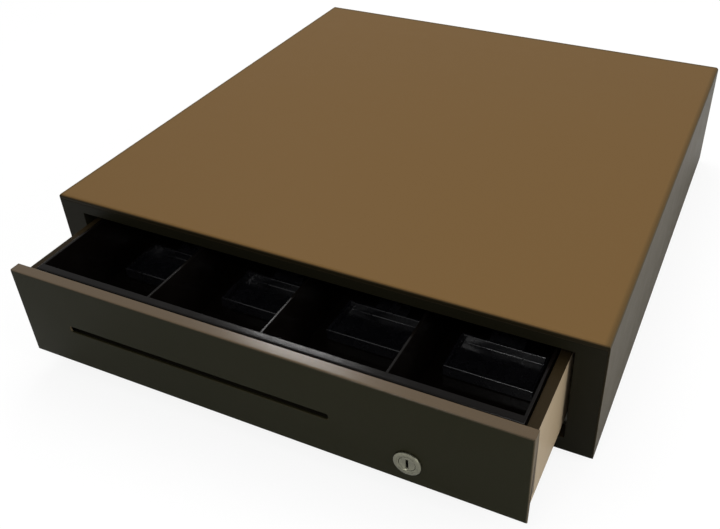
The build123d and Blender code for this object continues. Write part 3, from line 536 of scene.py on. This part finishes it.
# steel sheet, mouldings and turned parts whose edges only need breaking, with the width of the break in mm
edgeBreaks = {
    "painted_steel": {"top_cover": 0.4, "front_frame": 0.3, "front_panel": 0.35, "drawer_box": 0.25,
                      "base_plate": 0.25, "rear_panel": 0.25},
    "zinc_steel": {"runner_right": 0.25, "runner_left": 0.25, "front_roller_bracket_right": 0.25,
                   "front_roller_bracket_left": 0.25, "latch_bracket": 0.3, "solenoid_frame": 0.3,
                   "lock_keeper": 0.25, "strike_plate": 0.3, "latch_lever": 0.3, "ejector_guide": 0.3,
                   "board_standoffs": 0.3},
    "till_plastic": dict({"till": 0.5, "coin_tray": 0.7}, **{f"bill_clip_{i}": 0.7 for i in range(1, 5)}),
    "lock_chrome": {"lock_cam": 0.3, "lock_nut": 0.4},
    "black_plastic": {"drawer_switch": 0.3, "interface_socket": 0.35},
    "green_board": {"socket_board": 0.2},
    "black_rubber": {"runner_bumpers": 0.8},
    "bright_steel": {"panel_studs": 0.3, "panel_nuts": 0.35, "front_roller_pins": 0.25,
                     "rear_roller_pins": 0.25, "bill_clip_pins": 0.3, "latch_pivot_pin": 0.25,
                     "plunger_pin": 0.2, "solenoid_plunger": 0.3, "cam_screw": 0.35, "switch_lever": 0.12},
}
roundedSlots = ("till_plastic", "black_rubber")
for slotName, members in edgeBreaks.items():
    for member, width in members.items():
        softened(member, width, 3 if slotName in roundedSlots else 2)
print("sheet metal and mouldings made")


# springs
def springPiece(node, body=None):
    shape = bmesh.new()
    shape.from_mesh(frame["nodes"][node].data)
    bmesh.ops.remove_doubles(shape, verts=shape.verts, dist=weld)
    mesh = meshFrom(f"{node}_made", shape, smoothUnder["spring"])
    return newObject(f"{node}_made", mesh, springWire, body, [node])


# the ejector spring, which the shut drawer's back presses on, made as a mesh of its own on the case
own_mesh(springPiece("ejector_spring", "case"))

# these join two bodies and are made as still meshes; "plain" is the unwound length at each end, in mm
joiningSprings = {"latch_return_spring": {"still": "case", "moving": "latch", "plain": 4.0}}
for i in range(1, 5):
    joiningSprings[f"bill_clip_spring_{i}"] = {"still": "drawer", "moving": f"bill_clip_{i}", "plain": 0.8}
for node, setup in joiningSprings.items():
    low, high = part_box(node)
    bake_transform(springPiece(node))
print("springs made")


# Geometry Nodes: one template set down at every point, turned to face its way and given a random spin
def makeScatter():
    tree = bpy.data.node_groups.new("setDown", "GeometryNodeTree")
    for label, kind in (("Places", "NodeSocketGeometry"), ("Template", "NodeSocketObject"),
                        ("Face", "NodeSocketVector"), ("Spin", "NodeSocketFloat"), ("Seed", "NodeSocketInt"),
                        ("Finish", "NodeSocketMaterial")):
        tree.interface.new_socket(label, in_out="INPUT", socket_type=kind)
    tree.interface.new_socket("Pieces", in_out="OUTPUT", socket_type="NodeSocketGeometry")
    nodes, links = tree.nodes, tree.links
    source = nodes.new("NodeGroupInput")
    info = nodes.new("GeometryNodeObjectInfo")
    place = nodes.new("GeometryNodeInstanceOnPoints")
    spin = nodes.new("FunctionNodeRandomValue")
    spin.data_type = "FLOAT"
    axis = nodes.new("ShaderNodeCombineXYZ")
    turn = nodes.new("GeometryNodeRotateInstances")
    turn.inputs["Local Space"].default_value = True
    real = nodes.new("GeometryNodeRealizeInstances")
    coat = nodes.new("GeometryNodeSetMaterial")
    sink = nodes.new("NodeGroupOutput")
    floats = [s for s in spin.inputs if s.type == "VALUE"]
    floats[0].default_value = 0.0
    links.new(source.outputs["Spin"], floats[1])
    links.new(source.outputs["Seed"], spin.inputs["Seed"])
    links.new([s for s in spin.outputs if s.type == "VALUE"][0], axis.inputs["Z"])
    links.new(source.outputs["Template"], info.inputs["Object"])
    links.new(source.outputs["Places"], place.inputs["Points"])
    links.new(info.outputs["Geometry"], place.inputs["Instance"])
    links.new(source.outputs["Face"], place.inputs["Rotation"])
    links.new(place.outputs["Instances"], turn.inputs["Instances"])
    links.new(axis.outputs["Vector"], turn.inputs["Rotation"])
    links.new(turn.outputs["Instances"], real.inputs["Geometry"])
    links.new(real.outputs["Geometry"], coat.inputs["Geometry"])
    links.new(source.outputs["Finish"], coat.inputs["Material"])
    links.new(coat.outputs["Geometry"], sink.inputs["Pieces"])
    return tree


setDown = makeScatter()


def scattered(name, template, places, face, finish, spin=0.0, seed=7):
    holder = bpy.data.objects.new(name + "Template", template)
    scene.collection.objects.link(holder)
    points = bpy.data.meshes.new(name + "Points")
    points.from_pydata([Vector(p) * mm for p in places], [], [])

    def change(carrier):
        grow = carrier.modifiers.new("setDown", "NODES")
        grow.node_group = setDown
        values = {"Template": holder, "Face": Vector([math.radians(a) for a in face]), "Spin": spin,
                  "Seed": seed, "Finish": finish}
        for item in setDown.interface.items_tree:
            if item.in_out == "INPUT" and item.name in values:
                grow[item.identifier] = values[item.name]

    mesh = settled(name, points, change)
    bpy.data.objects.remove(holder)
    return mesh


def joined(name, meshes):
    shape = bmesh.new()
    for mesh in meshes:
        shape.from_mesh(mesh)
    mesh = bpy.data.meshes.new(name)
    shape.to_mesh(mesh)
    shape.free()
    mesh.shade_smooth()
    mesh.set_sharp_from_angle(angle=math.radians(smoothUnder["turned"]))
    return mesh


# the low and high corners of a node's separate solids, in mm
def solidsOf(node):
    shape = bmesh.new()
    shape.from_mesh(frame["nodes"][node].data)
    bmesh.ops.remove_doubles(shape, verts=shape.verts, dist=weld)
    left, found = set(shape.verts), []
    while left:
        island, edge = set(), [left.pop()]
        while edge:
            vert = edge.pop()
            island.add(vert)
            for link in vert.link_edges:
                other = link.other_vert(vert)
                if other in left:
                    left.discard(other)
                    edge.append(other)
        low = Vector([min(v.co[i] for v in island) for i in range(3)]) / mm
        high = Vector([max(v.co[i] for v in island) for i in range(3)]) / mm
        found.append((low, high))
    shape.free()
    return sorted(found, key=lambda ends: tuple(round(c, 2) for c in ends[0]))


# pan-head screws with a cross recess; the seat is at z = 0 and the head stands above it
screwSize = {"head": 3.5, "rise": 2.0, "shank": 1.96, "neck": 0.4, "pitch": 0.7, "thread": 0.22, "tip": 0.6,
             "segments": 32, "cross": 0.95, "crossReach": 2.0, "crossDepth": 1.3, "crossTaper": (0.6, 0.45)}


def crossArm(wide, long, size):
    top, bottom = (size["rise"] + 0.3) * mm, (size["rise"] - size["crossDepth"]) * mm
    narrow, short = size["crossTaper"]
    arm = bmesh.new()
    signs = ((-1, -1), (1, -1), (1, 1), (-1, 1))
    ring = [arm.verts.new((x * wide * narrow * mm, y * long * short * mm, bottom)) for x, y in signs]
    rim = [arm.verts.new((x * wide * mm, y * long * mm, top)) for x, y in signs]
    arm.faces.new(ring[::-1])
    arm.faces.new(rim)
    for i in range(4):
        arm.faces.new((ring[i], ring[(i + 1) % 4], rim[(i + 1) % 4], rim[i]))
    return meshFrom("crossArm", arm)


def screwMesh(length, size=screwSize):
    head, rise, shank = size["head"], size["rise"], size["shank"]
    outline = [(0, rise), (head * 0.45, rise - 0.04), (head * 0.75, rise - 0.25), (head * 0.93, rise - 0.65),
               (head, rise - 1.15), (head, 0.12), (head - 0.12, 0), (shank, 0)]
    z = -size["neck"]
    while z > -length + 1.0:
        outline += [(shank, z), (shank - size["thread"], z - size["pitch"] / 2)]
        z -= size["pitch"]
    outline += [(shank - 0.1, -length + 0.5), (shank - size["tip"], -length), (0, -length)]
    body = meshFrom("screwBody", turned(outline, size["segments"], closed=False), smoothUnder["turned"])
    half, reach = size["cross"] / 2, size["crossReach"]
    return carved("screw", body, [crossArm(half, reach, size), crossArm(reach, half, size)])


# "face": the turn that points the head its way; "headEnd": the end of the screw along "axis" with the head
screwSets = {
    "base_screws": {"face": (180, 0, 0), "headEnd": "low", "axis": 2},
    "rear_screws": {"face": (-90, 0, 0), "headEnd": "high", "axis": 1},
    "bracket_screws": {"face": (0, 0, 0), "headEnd": "high", "axis": 2},
    "strike_screws": {"face": (-90, 0, 0), "headEnd": "high", "axis": 1},
}
randomTurn = {"spin": 3.1, "seed": 11}
for node, setup in screwSets.items():
    axis, groups = setup["axis"], {}
    for low, high in solidsOf(node):
        place = (low + high) / 2
        if setup["headEnd"] == "low":
            place[axis] = low[axis] + screwSize["rise"]
        else:
            place[axis] = high[axis] - screwSize["rise"]
        length = round(high[axis] - low[axis] - screwSize["rise"], 1)
        groups.setdefault(length, []).append(place)
    made = [scattered(node + str(length), screwMesh(length), places, setup["face"], brightSteel, **randomTurn)
            for length, places in sorted(groups.items())]
    newObject(node + "_made", joined(node + "_made", made), brightSteel, bodyOf(node), [node])
print("screws made")

# ribbed rubber feet with a sunk middle; "grooves" are their middles' distances from the foot's middle
footSize = {"radius": 11.0, "height": 3.0, "sunk": 1.4, "hollow": 4.2, "edge": 0.75, "grooves": (8.7, 6.9),
            "grooveHalf": 0.4, "grooveDepth": 0.35, "segments": 56}


def footMesh(size):
    r, h, e, hollow = size["radius"], size["height"], size["edge"], size["hollow"]
    outline = [(0, h), (r, h), (r, e), (r - 0.22, 0.25), (r - e, 0)]
    for middle in size["grooves"]:
        half = size["grooveHalf"]
        outline += [(middle + half, 0), (middle, size["grooveDepth"]), (middle - half, 0)]
    outline += [(hollow + 0.4, 0), (hollow, 0.3), (hollow, size["sunk"]), (0, size["sunk"])]
    return meshFrom("footTemplate", turned(outline, size["segments"], closed=False), smoothUnder["foot"])


feet = [((low + high) / 2).xy.to_3d() for low, high in solidsOf("rubber_feet")]
footMade = scattered("rubberFeet", footMesh(footSize), feet, (0, 0, 0), rubber, 3.1, 5)
newObject("rubber_feet_made", joined("rubber_feet_made", [footMade]), rubber, "case",
          ["rubber_feet"])
print("feet made")

# lock: turned shell with a threaded barrel, and a plug with a key slot; both along -Y from the bezel's face
lockSize = {"bezel": 9.25, "proud": 1.5, "barrel": 7.96, "bore": 5.5, "relief": 1.9, "pitch": 1.0,
            "thread": 0.42, "shellSegments": 96, "plug": 5.42, "plugDrop": 0.2, "plugSegments": 72,
            "tail": 2.95, "slotWidth": 1.6, "slotHeight": 7.0, "slotDepth": 14.0, "leadIn": 0.35,
            "slotRound": 0.06, "slotAngle": 40}
lockLow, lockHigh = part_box("lock_body")
lockFront = lockLow[1] / mm
lockLength = (lockHigh[1] - lockLow[1]) / mm
lockAxis = ((lockLow[0] + lockHigh[0]) / (2 * mm), (lockLow[2] + lockHigh[2]) / (2 * mm))


# local +Z points out of the panel, and z = 0 is the bezel's front face
def lockTurn():
    place = Matrix.Translation((lockAxis[0] * mm, lockFront * mm, lockAxis[1] * mm))
    return place @ Matrix.Rotation(math.radians(90), 4, "X")


def lockShell(size):
    b, p, t, bore = size["bezel"], size["proud"], size["barrel"], size["bore"]
    outline = [(bore, -0.45), (bore + 0.18, -0.16), (bore + 0.5, -0.05), (bore + 0.95, -0.02),
               (bore + 1.1, -0.14), (bore + 1.45, -0.14), (bore + 1.6, 0.0), (b - 1.0, 0.0),
               (b - 0.55, -0.07), (b - 0.2, -0.27), (b, -0.62), (b, -p + 0.1), (b - 0.1, -p), (t, -p)]
    z = -p - size["relief"]
    while z > -lockLength + 1.0:
        outline += [(t, z), (t - size["thread"], z - size["pitch"] / 2)]
        z -= size["pitch"]
    outline += [(t - 0.2, -lockLength + 0.4), (t - 0.6, -lockLength), (bore + 0.3, -lockLength),
                (bore, -lockLength + 0.3)]
    return meshFrom("lockShell", turned(outline, size["shellSegments"]), smoothUnder["lock"])


def lockPlug(size):
    coreLow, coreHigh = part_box("lock_core")
    back = (coreHigh[1] - lockLow[1]) / mm
    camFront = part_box("lock_cam")[0][1] / mm - lockFront
    r, top = size["plug"], -size["plugDrop"]
    outline = [(0, top - 0.12), (r - 1.0, top - 0.12), (r - 0.75, top), (r - 0.3, top), (r - 0.08, top - 0.1),
               (r, top - 0.35), (r, -camFront), (size["tail"], -camFront), (size["tail"], -back), (0, -back)]
    plug = meshFrom("lockPlug", turned(outline, size["plugSegments"], closed=False), smoothUnder["lock"])
    half, tall, lead = size["slotWidth"] / 2, size["slotHeight"] / 2, size["leadIn"]
    slot = blockMesh("slot", ((-half, half), (-tall, tall), (-size["slotDepth"] - size["proud"], 1.0)))
    mouth = blockMesh("leadIn", ((-half - lead, half + lead), (-tall - lead, tall + lead), (top - lead, 1.0)))
    return carved("lockPlug", plug, [slot, mouth], roundEdges(size["slotRound"], 2, size["slotAngle"]))


lockMeshes = ((lockShell(lockSize), "drawer", "lock_body"), (lockPlug(lockSize), "lock_plug", "lock_core"))
for mesh, body, node in lockMeshes:
    mesh.transform(lockTurn())
    newObject(node + "_made", mesh, nickel, body, [node])
print("lock made")

# solenoid winding: round turns of wire between the bobbin's cheeks
coilLow, coilHigh = (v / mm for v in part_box("solenoid_coil"))
coilMiddle = (coilLow + coilHigh) / 2
windingSize = {"wire": 0.28, "radius": 8.45, "cheek": 1.8, "cheekRadius": 9.7, "cheekEdge": 0.3, "bore": 5.1,
               "segments": 56, "cheekSegments": 72}
alongX = Matrix.Rotation(math.radians(90), 4, "Y")


def turnMesh(size):
    angles = [i * math.pi / 4 for i in range(8)]
    outline = [(size["radius"] + size["wire"] * math.cos(a), size["wire"] * math.sin(a)) for a in angles]
    return meshFrom("ring", turned(outline, size["segments"]), smoothUnder["wire"])


def bobbinMesh(size, half):
    bore, cheek, out, edge = size["bore"], size["cheek"], size["cheekRadius"], size["cheekEdge"]
    core = size["radius"] - 0.1
    outline = [(bore, -half), (out - edge, -half), (out, -half + edge), (out, -half + cheek),
               (core, -half + cheek), (core, half - cheek), (out, half - cheek), (out, half - edge),
               (out - edge, half), (bore, half)]
    return meshFrom("bobbin", turned(outline, size["cheekSegments"]), smoothUnder["turned"])


inset = windingSize["cheek"] + windingSize["wire"]
first, last = coilLow.x + inset, coilHigh.x - inset
turns = int((last - first) / (2 * windingSize["wire"]))
ringPlaces = [(first + i * (last - first) / turns, coilMiddle.y, coilMiddle.z) for i in range(turns + 1)]
ringMade = scattered("windingTurns", turnMesh(windingSize), ringPlaces, (0, 90, 0), copperWire)
newObject("windingTurns", joined("windingTurns", [ringMade]), copperWire, "case")
bobbin = bobbinMesh(windingSize, (coilHigh.x - coilLow.x) / 2)
bobbin.transform(Matrix.Translation(coilMiddle * mm) @ alongX)
newObject("solenoid_coil_made", bobbin, windingTape, "case", ["solenoid_coil"])
print("winding made")

# socket contacts, and small parts on the board
socketLow, socketHigh = (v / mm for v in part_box("interface_socket"))
contactSize = {"count": 6, "pitch": 1.02, "width": 0.42, "length": 7.5, "rise": 1.9, "wire": 0.3,
               "fromBack": 3.2, "aboveBottom": 7.2}


def contactMesh(size):
    half, long, rise, wire = size["width"] / 2, size["length"], size["rise"], size["wire"]
    shape = bmesh.new()
    path = [(0.0, 0.0), (long * 0.35, 0.1), (long, rise)]
    rows = [[shape.verts.new((x * mm, -y * mm, (z + d) * mm)) for x in (-half, half) for d in (0, wire)]
            for y, z in path]
    for a, b in zip(rows, rows[1:]):
        for i, j in ((0, 1), (1, 3), (3, 2), (2, 0)):
            shape.faces.new((a[i], a[j], b[j], b[i]))
    for end in (rows[0], rows[-1]):
        shape.faces.new((end[0], end[1], end[3], end[2]))
    return meshFrom("contact", shape)


socketX = (socketLow.x + socketHigh.x) / 2
contactY, contactZ = socketHigh.y - contactSize["fromBack"], socketLow.z + contactSize["aboveBottom"]
middleContact = (contactSize["count"] - 1) / 2
contactPlaces = [(socketX + (i - middleContact) * contactSize["pitch"], contactY, contactZ)
                 for i in range(contactSize["count"])]
contactMade = scattered("contacts", contactMesh(contactSize), contactPlaces, (0, 0, 0), goldPlate)
newObject("socketContacts", joined("socketContacts", [contactMade]), goldPlate, "case")

boardLow, boardHigh = (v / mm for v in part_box("socket_board"))
boardTop = boardHigh.z
# each block: its middle on the board, then its length, width and height
boardParts = {
    "boardChips": {"finish": switchPlastic, "slot": "black_plastic",
                   "blocks": [(8, 12, 9, 6, 1.6), (37, 8, 5, 4, 1.2)]},
    "boardCapacitors": {"finish": nylon, "slot": "lead_pvc",
                        "blocks": [(6, 22, 3, 1.6, 1.4), (40, 16, 3, 1.6, 1.4)]},
}
solderGap, blockRound = 0.05, 0.2
for name, setup in boardParts.items():
    blocks = []
    for x, y, length, width, height in setup["blocks"]:
        x, y = boardLow.x + x, boardLow.y + y
        blocks.append(((x - length / 2, x + length / 2), (y - width / 2, y + width / 2),
                       (boardTop + solderGap, boardTop + height)))
    mesh = settled(name, blockMesh(name, *blocks), roundEdges(blockRound))
    newObject(name, mesh, setup["finish"], "case")
print("socket and board parts made")
